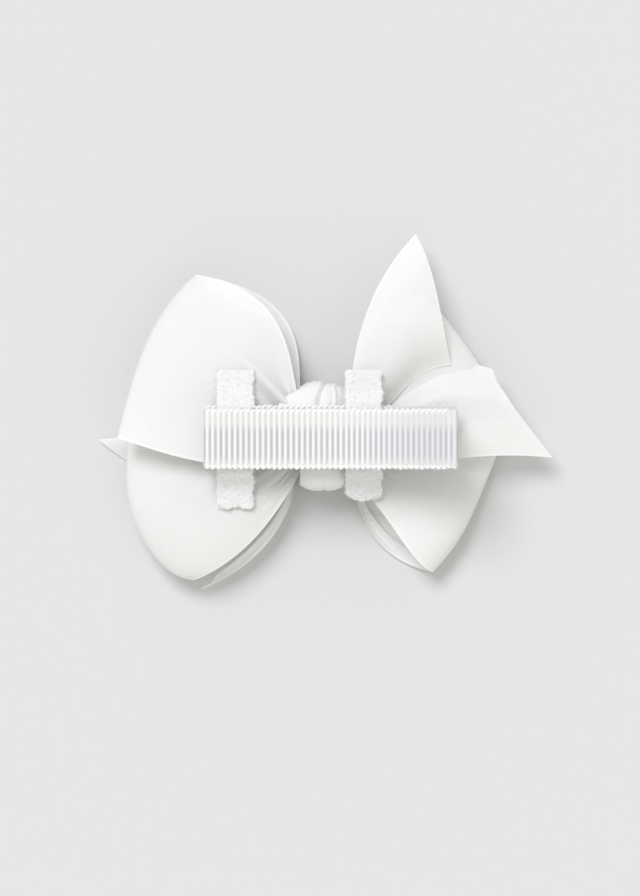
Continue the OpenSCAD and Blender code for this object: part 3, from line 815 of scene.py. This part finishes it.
def gathering_thread():
    """Three turns of two-ply thread round the core's waist."""
    turns, steps, r, sunk = 3, 900, 0.26, 0.7
    start, pitch = -1.02, 0.56
    lay, ply_r, twists = 0.11, 0.14, 34
    a = np.linspace(0, TURN * turns, steps)
    y, z = rounded(HOLE_Y - sunk + r, HOLE_Z - sunk + r, BOX_POWER, a)
    x = start + pitch * a / TURN
    line = np.stack([x, KNOT_Y + y, KNOT_Z + z], axis=-1)
    _, side, up = frames_along(line)
    parts = []
    for ply in (0.0, math.pi):
        twist = twists * a + ply
        strand = line + lay * (np.cos(twist)[:, None] * side + np.sin(twist)[:, None] * up)
        parts.append((tube_points(strand, ply_r, 6), grid_faces(steps, 6, close_cols=True)))
    points, faces = merged(parts)
    return new_object("gathering_thread_twist", points, faces, THREAD)


thread = gathering_thread()
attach(thread, "bow")
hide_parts("gathering_thread")


def glue_blob():
    """A pressed blob of hot-melt glue, with a lumpy rim."""
    turns, rings, half_y, half_x, sunk = 72, 12, 3.7, 2.85, 0.03
    angle = np.linspace(0, TURN, turns, endpoint=False)
    low, high = KNOT_Z + KNOT_D / 2 - sunk, BACK_Z
    rim = 1 + 0.035 * np.sin(5 * angle + 1) + 0.03 * np.sin(9 * angle) + 0.02 * np.sin(16 * angle)
    profile = [(k / rings, low) for k in range(rings + 1)]
    profile += [(1.03, mix(low, high, 0.3)), (1.05, mix(low, high, 0.6)), (1.02, high - sunk)]
    profile += [(1 - k / rings, high) for k in range(rings + 1)]
    y, x = rounded(half_y, half_x, 2.8, angle)
    rows = [np.stack([(KNOT_LEFT + KNOT_RIGHT) / 2 + x * rim * r, CLIP_Y + y * rim * r,
                      np.full(turns, z)], axis=-1) for r, z in profile]
    return grid_object("glue_blob", np.stack(rows), GLUE, close_cols=True)


glue = glue_blob()
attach(glue, "bow")
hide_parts("glue_pad")


# ---- the clip's ribbon ----

def even(line, step):
    """The line again, with points an even step apart, and how far along each is."""
    along = np.concatenate([[0], np.cumsum(np.linalg.norm(np.diff(line, axis=0), axis=1))])
    at = np.arange(0, along[-1], step)
    return np.stack([np.interp(at, along, line[:, k]) for k in range(2)], axis=1), at


def arc(centre, radius, start, end, steps=14):
    """Points of an arc in X and Z, between two angles in degrees."""
    a = np.radians(np.linspace(start, end, steps))
    return [(centre[0] + radius * math.cos(x), centre[1] + radius * math.sin(x)) for x in a]


def lever_line():
    """Middle line of the lever's plate in X and Z: curled nose, flat pad, rise to the thumb."""
    line = [(NOSE_X + 2.6 * u, LEVER_MID - 0.45 * (1 - u) ** 2) for u in np.linspace(0, 1, 9)]
    r = (RISE_END - RISE_START) / math.sin(THUMB_SLOPE)
    for a in np.linspace(0, THUMB_SLOPE, 12):
        line.append((RISE_START + r * math.sin(a), LEVER_MID + r * (1 - math.cos(a))))
    end = line[-1]
    line.append((TAIL_X, end[1] + (TAIL_X - end[0]) * math.tan(THUMB_SLOPE)))
    return np.array(line)


def offset_line(line, d):
    """The line moved d to its left."""
    t = np.gradient(line, axis=0)
    t /= np.linalg.norm(t, axis=1, keepdims=True)
    return line + d * np.stack([-t[:, 1], t[:, 0]], axis=1)


STEEL_GAP, WEAVE_MID = 0.02, 0.17
MID_OFFSET = STEEL_T / 2 + STEEL_GAP + WEAVE_MID


def cover_line():
    """Middle of the cover's ribbon: under the nose's edge, over the lever, back under its tail."""
    plate = lever_line()
    over = offset_line(plate, MID_OFFSET)
    under = offset_line(plate, -MID_OFFSET)
    nose = arc(plate[0], MID_OFFSET, 235, 118)
    tilt = math.degrees(THUMB_SLOPE)
    tail = arc(plate[-1], MID_OFFSET, 84 + tilt, -90 + tilt)
    slope = math.tan(THUMB_SLOPE)
    back = [(x, under[-1, 1] - (under[-1, 0] - x) * slope) for x in (22, 19, 15.8)]
    return np.array(nose + over[1:-1].tolist() + tail + back)


def lining_line():
    """Middle of the lining's ribbon: under the fixed jaw, round its nose, back over its inside."""
    mid = LINING_Z - STEEL_T / 2
    d = MID_OFFSET
    under = [(x, mid - d) for x in (24.1, 10.0, -8.0, NOSE_X + 0.2)]
    nose = arc((NOSE_X + 0.1, mid), d, 262, 98)
    over = [(x, mid + d) for x in (NOSE_X + 0.3, -8.0, 9.8)]
    return np.array(under + nose + over)


def ribbed_ribbon(name, line, y_low, y_high, smooth_from, phase):
    """A grosgrain ribbon with round ribs across it. smooth_from is the X past which it is plain."""
    step = RIB_PITCH / 12
    path, at = even(line, step)
    tangent = np.gradient(path, axis=0)
    tangent /= np.linalg.norm(tangent, axis=1, keepdims=True)
    normal = np.stack([-tangent[:, 1], tangent[:, 0]], axis=1)
    cols = 40
    v = np.linspace(y_low, y_high, cols)
    middle, half = (y_low + y_high) / 2, (y_high - y_low) / 2
    a2, v2 = np.meshgrid(at + phase, v, indexing="ij")
    off = (a2 / RIB_PITCH) % 1.0 - 0.5
    rib = np.exp(-(off * RIB_PITCH / RIB_HALF) ** 2)
    plain = smooth_step(path[:, 0], smooth_from, smooth_from + 0.3)[:, None]
    edge = smooth_step(np.abs(v2 - middle), half - 0.9, half - 0.25)
    cell = np.floor(a2 / RIB_PITCH)
    uneven = 0.012 * np.sin(2.3 * cell + 0.9 * v2) + 0.01 * np.sin(5.1 * v2 + 1.7 * cell)
    ribs = (RIB_HEIGHT * rib + uneven) * (1 - 0.8 * edge) * (1 - plain)
    height = WEAVE_HALF_T + ribs + 0.07 * plain
    outer = np.stack([path[:, 0][:, None] + normal[:, 0][:, None] * height, v2,
                      path[:, 1][:, None] + normal[:, 1][:, None] * height], axis=-1)
    vb = np.linspace(y_high, y_low, 5)
    b2 = np.broadcast_to(vb, (len(path), 5))
    under = path - WEAVE_HALF_T * normal
    inner = np.stack([np.broadcast_to(under[:, :1], b2.shape), b2,
                      np.broadcast_to(under[:, 1:], b2.shape)], axis=-1)
    ring = np.concatenate([outer, inner], axis=1)
    uv = np.stack(np.meshgrid(at + phase, np.concatenate([v, vb]) - middle, indexing="ij"),
                  axis=-1)
    rows, wide = ring.shape[:2]
    faces = grid_faces(rows, wide, close_cols=True)
    faces += [tuple(range(wide))[::-1], tuple((rows - 1) * wide + j for j in range(wide))]
    obj = new_object(name, ring.reshape(-1, 3), faces, GROSGRAIN, uv.reshape(-1, 2))
    return obj, path, normal, tangent, at + phase


def bead(centre, axes, halves):
    """A small rounded bead: its three axes and its half sizes along them."""
    around, high = 8, 6
    lat = np.linspace(-0.5 * math.pi, 0.5 * math.pi, high + 1)
    lon = np.linspace(0, TURN, around, endpoint=False)
    la, lo = np.meshgrid(lat, lon, indexing="ij")
    unit = (np.sin(la), np.cos(la) * np.cos(lo), np.cos(la) * np.sin(lo))
    p = centre + sum(h * u[..., None] * a for h, u, a in zip(halves, unit, axes))
    return p, grid_faces(high + 1, around, close_cols=True)


def picots(name, path, normal, tangent, at, y_low, y_high, smooth_from, body):
    """The woven edges: slanted stitches along the high edge, round beads along the low one.
    A row of them is its place along a rib, its place across, its slant and its half sizes."""
    stands_off = 0.10
    parts = []
    for k in range(int(at[0] / RIB_PITCH) + 1, int(at[-1] / RIB_PITCH)):
        for share, y, slant, halves in (
                (0.5, y_high - 0.36, 50, (0.56, 0.19, 0.21)),
                (0.93, y_high - 0.12, 64, (0.34, 0.17, 0.19)),
                (0.5, y_low + 0.2, 90, (0.36, 0.34, 0.25)),
                (0.0, y_low + 0.5, 90, (0.24, 0.16, 0.16))):
            where = (k + share) * RIB_PITCH
            i = int(np.clip(np.searchsorted(at, where), 0, len(at) - 1))
            t3 = np.array([tangent[i, 0], 0, tangent[i, 1]])
            n3 = np.array([normal[i, 0], 0, normal[i, 1]])
            a = math.radians(slant + 5 * math.sin(2.1 * k))
            along = math.cos(a) * t3 + math.sin(a) * np.array([0, 1.0, 0])
            across = np.cross(n3, along)
            shrink = 1 - 0.35 * float(smooth_step(path[i, 0], smooth_from, smooth_from + 0.3))
            centre = np.array([path[i, 0], y + 0.05 * math.sin(1.7 * k), path[i, 1]])
            centre = centre + stands_off * n3
            size = [h * shrink * (1 + 0.08 * math.sin(3.3 * k + y)) for h in halves]
            parts.append(bead(centre, (along, across, n3), size))
    points, faces = merged(parts)
    obj = new_object(name, points, faces, PICOT)
    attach(obj, body)
    return obj


COVER_PLAIN_X, NOWHERE = 22.0, 99
COVER_Y = (CLIP_Y - GROSGRAIN_W / 2, CLIP_Y + GROSGRAIN_W / 2)
cover, *cover_frame = ribbed_ribbon("lever_cover_ribbon", cover_line(), *COVER_Y,
                                    COVER_PLAIN_X, 0.3)
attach(cover, "lever")
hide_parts("lever_cover")
cover_edges = picots("lever_cover_picots", *cover_frame, *COVER_Y, COVER_PLAIN_X, "lever")

LINING_Y = (COVER_Y[0], COVER_Y[1] + 0.75)
lining, *lining_frame = ribbed_ribbon("fixed_jaw_lining_ribbon", lining_line(), *LINING_Y,
                                      NOWHERE, 0.7)
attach(lining, "bow")
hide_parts("fixed_jaw_lining")
lining_edges = picots("fixed_jaw_lining_picots", *lining_frame, *LINING_Y, NOWHERE, "bow")

for ribbon, edges, line, steel_node in ((cover, cover_edges, cover_frame, "lever_jaw"),
                                        (lining, lining_edges, lining_frame, "fixed_jaw")):
    length = line[3][-1] - line[3][0]
    print("sheet", ribbon.name, "length %.1f mm" % length)


# ---- steel ----

def leaf_spring():
    """A hairpin of spring steel: its bend goes round the pin, its legs push the tails apart."""
    leaf_t, leg_x, bend_r, leg_gap, lead = 0.3, 20.0, PIN_R + 0.75, 0.8, 2.4
    plate = lever_line()
    rise_z = plate[-1, 1] - (TAIL_X - leg_x) * math.tan(THUMB_SLOPE)
    upper = rise_z - STEEL_T / 2 / math.cos(THUMB_SLOPE) - leg_gap
    lower = LINING_Z + leaf_t / 2 + LAYER_GAP
    bend = arc(HINGE, bend_r, 108, 250, 26)
    line = np.array([(leg_x, upper)] + bend + [(HINGE[0] + lead, lower), (leg_x, lower)])
    path, _ = even(line, 0.12)
    t = np.gradient(path, axis=0)
    t /= np.linalg.norm(t, axis=1, keepdims=True)
    n = np.stack([-t[:, 1], t[:, 0]], axis=1)
    half_w, half_t, soft = 2.0, leaf_t / 2, 0.06
    section = [(-half_w + soft, -half_t), (half_w - soft, -half_t), (half_w, -half_t + soft),
               (half_w, half_t - soft), (half_w - soft, half_t), (-half_w + soft, half_t),
               (-half_w, half_t - soft), (-half_w, -half_t + soft)]
    ring = np.array([[(path[i, 0] + n[i, 0] * h, CLIP_Y + w, path[i, 1] + n[i, 1] * h)
                      for w, h in section] for i in range(len(path))])
    rows = len(path)
    faces = grid_faces(rows, 8, close_cols=True)
    faces += [tuple(range(8))[::-1], tuple((rows - 1) * 8 + j for j in range(8))]
    return new_object("leaf_spring_hairpin", ring.reshape(-1, 3), faces, SPRING, smooth=False)


spring = leaf_spring()
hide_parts("leaf_spring")
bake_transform(spring)

for node in ("fixed_jaw", "lever_jaw", "hinge_pin"):
    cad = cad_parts[node]
    cad.data.materials.clear()
    cad.data.materials.append(PLATED)


# ---- felt tabs ----

def tab_line(high, high_z, low, low_z):
    """The tab's middle line in Y and Z: down from one loop, between the jaws, and down again."""
    mid = TAB_Z + TAB_T / 2
    reach = GROSGRAIN_W / 2 + 0.5
    corners = np.array([(high, high_z), (CLIP_Y + reach + 2.4, high_z + 0.35),
                        (CLIP_Y + reach, mid), (CLIP_Y - reach, mid),
                        (CLIP_Y - reach - 2.2, low_z + 1.5), (low, low_z)])
    for _ in range(3):
        cut = [corners[0]]
        for p, q in zip(corners[:-1], corners[1:]):
            cut += [mix(p, q, 0.2), mix(p, q, 0.8)]
        corners = np.array(cut + [corners[-1]])
    return even(corners, 0.09)


def lumps(x, y, phase):
    """Matted felt's small lumps, in -1..1, from crossed waves of many directions."""
    total = np.zeros_like(x)
    for k in range(9):
        a = 2.399 * k + phase
        pitch = 0.55 + 0.11 * k
        total += np.sin(TURN / pitch * (x * math.cos(a) + y * math.sin(a)) + 1.9 * k + phase)
    return total / 4.2


def felt_tab(name, x0, line, round_low, phase):
    """A strip of felt along a line, from x0 on, with cut sides, a torn low end and loose hairs."""
    path, at = line
    rows, cols = len(path), 96
    t = np.gradient(path, axis=0)
    t /= np.linalg.norm(t, axis=1, keepdims=True)
    n = np.stack([t[:, 1], -t[:, 0]], axis=1)
    n *= np.where(n[:, 1:2] < 0, -1, 1)
    u = np.linspace(0, 1, cols // 2)
    left = x0 + 0.06 * np.sin(at * 2.9 + phase)
    right = x0 + TAB_W + 0.16 * np.sin(at * 1.15 + phase) + 0.09 * np.sin(at * 3.6 + 2 * phase)
    from_end = at[-1] - at
    corner = np.clip(1 - from_end / round_low, 0, 1) ** 2.2 * round_low * 0.7
    corner = corner + np.clip(1 - at / 0.7, 0, 1) ** 2 * 0.35
    left, right = left + corner, right - corner
    rings = []
    for i in range(rows):
        x = mix(left[i], right[i], u)
        side = np.abs(2 * u - 1)
        half = TAB_T / 2 * (1 - side ** 10 * 0.85)
        bump = lumps(x, np.full_like(x, at[i]), phase)
        top = half + 0.035 * bump
        low = -half + 0.02 * bump
        y = path[i, 0] + np.concatenate([n[i, 0] * top, (n[i, 0] * low)[::-1]])
        z = path[i, 1] + np.concatenate([n[i, 1] * top, (n[i, 1] * low)[::-1]])
        rings.append(np.stack([np.concatenate([x, x[::-1]]), y, z], axis=-1))
    ring = np.array(rings)
    wide = ring.shape[1]
    ends = 0.22 * np.sin(1.7 * ring[-1, :, 0] + phase) + 0.12 * np.sin(4.9 * ring[-1, :, 0])
    fade = np.clip(1 - from_end / 2.0, 0, 1)[:, None] ** 2
    ring[..., 1] -= ends[None, :] * fade
    faces = grid_faces(rows, wide, close_cols=True)
    faces += [tuple(range(wide))[::-1], tuple((rows - 1) * wide + j for j in range(wide))]
    obj = new_object(name + "_felt", ring.reshape(-1, 3), faces, FELT)
    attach(obj, "bow")
    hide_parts(name)

    rng = np.random.default_rng(int(10 * phase) + 3)
    hair_r = np.array([0.022, 0.022, 0.02, 0.016, 0.006])
    hairs = []
    for _ in range(900):
        i = int(rng.integers(1, rows - 1))
        edge_hair = rng.random() < 0.4
        last = cols // 2 - 1
        j = int(rng.choice([0, last])) if edge_hair else int(rng.integers(1, last))
        base = ring[i, j]
        heading = rng.random() * TURN
        along = np.array([math.cos(heading), t[i, 0] * math.sin(heading),
                          t[i, 1] * math.sin(heading)])
        up = np.array([0, n[i, 0], n[i, 1]])
        swerve = np.cross(up, along)
        length = 0.35 + 0.75 * rng.random()
        curl = rng.uniform(-0.5, 0.5)
        rise = rng.uniform(0.03, 0.16)
        v = np.linspace(0, 1, 5)[:, None]
        line3 = (base + along * length * v + swerve * curl * v ** 2
                 + up * (rise * np.sin(math.pi * v * 0.9) - 0.01))
        hairs.append((tube_points(line3, hair_r, 3), grid_faces(len(v), 3, close_cols=True)))
    points, faces = merged(hairs)
    fuzz = new_object(name + "_fuzz", points, faces, FIBRE)
    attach(fuzz, "bow")


TAB_TOP, TAB_TOP_Z = 7.7, 14
felt_tab("left_felt_tab", -19.8, tab_line(TAB_TOP, TAB_TOP_Z, -17.6, 10.8), 0.9, 0.7)
felt_tab("right_felt_tab", 3.7, tab_line(TAB_TOP, TAB_TOP_Z, -16.1, 9.8), 1.8, 2.6)
